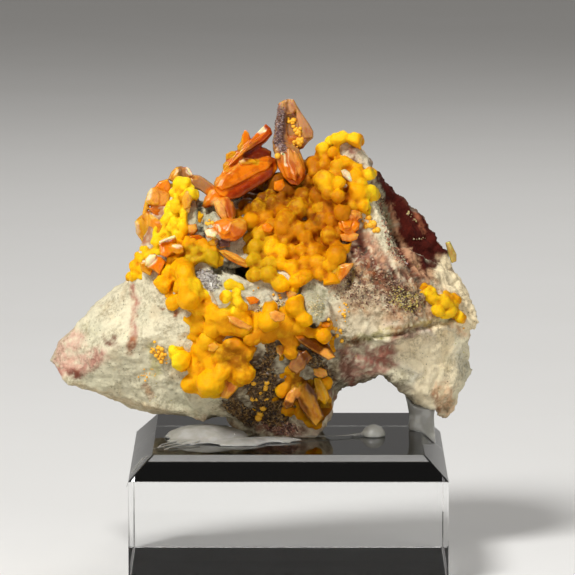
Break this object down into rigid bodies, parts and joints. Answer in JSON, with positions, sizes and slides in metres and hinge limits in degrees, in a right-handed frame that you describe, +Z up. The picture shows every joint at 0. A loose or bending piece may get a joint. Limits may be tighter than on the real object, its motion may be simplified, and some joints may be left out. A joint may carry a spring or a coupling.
{
  "type": "mineral specimen",
  "caption": "Wulfenite blades and crusts of mimetite balls on a pale arched rock, glued upright on a clear bevelled acrylic block.",
  "frame": {"origin": "centre of the acrylic block's bottom face", "axes": "+Z up through the specimen, +X to the right seen from the front, +Y to the back; the crystal faces look towards -Y"},
  "size_m": [0.0684, 0.05, 0.0737],
  "materials": {
    "acrylic": "clear, polished",
    "rock": "matt, granular",
    "wulfenite": "glassy, translucent",
    "mimetite": "waxy, translucent",
    "glue": "milky, satin"
  },
  "bodies": {
    "root": {"acrylic_plinth": "acrylic", "matrix_rock": "rock", "wulfenite_spire": "wulfenite", "wulfenite_fan": "wulfenite", "wulfenite_pendants": "wulfenite", "wulfenite_middle": "wulfenite", "wulfenite_left": "wulfenite", "wulfenite_peak": "wulfenite", "wulfenite_tablet_1": "wulfenite", "wulfenite_tablet_2": "wulfenite", "wulfenite_tablet_3": "wulfenite", "wulfenite_tablet_4": "wulfenite", "wulfenite_tablet_5": "wulfenite", "wulfenite_tablet_6": "wulfenite", "wulfenite_tablet_7": "wulfenite", "wulfenite_tablet_8": "wulfenite", "mimetite_hollow": "mimetite", "mimetite_peak": "mimetite", "mimetite_ridge": "mimetite", "mimetite_ledge": "mimetite", "mimetite_drape": "mimetite", "mimetite_sill": "mimetite", "mimetite_apron": "mimetite", "mimetite_foot": "mimetite", "mimetite_right": "mimetite", "mimetite_ball": "mimetite", "glue_smear": "glue", "glue_drop": "glue", "glue_post": "glue"}
  },
  "joints": []
}
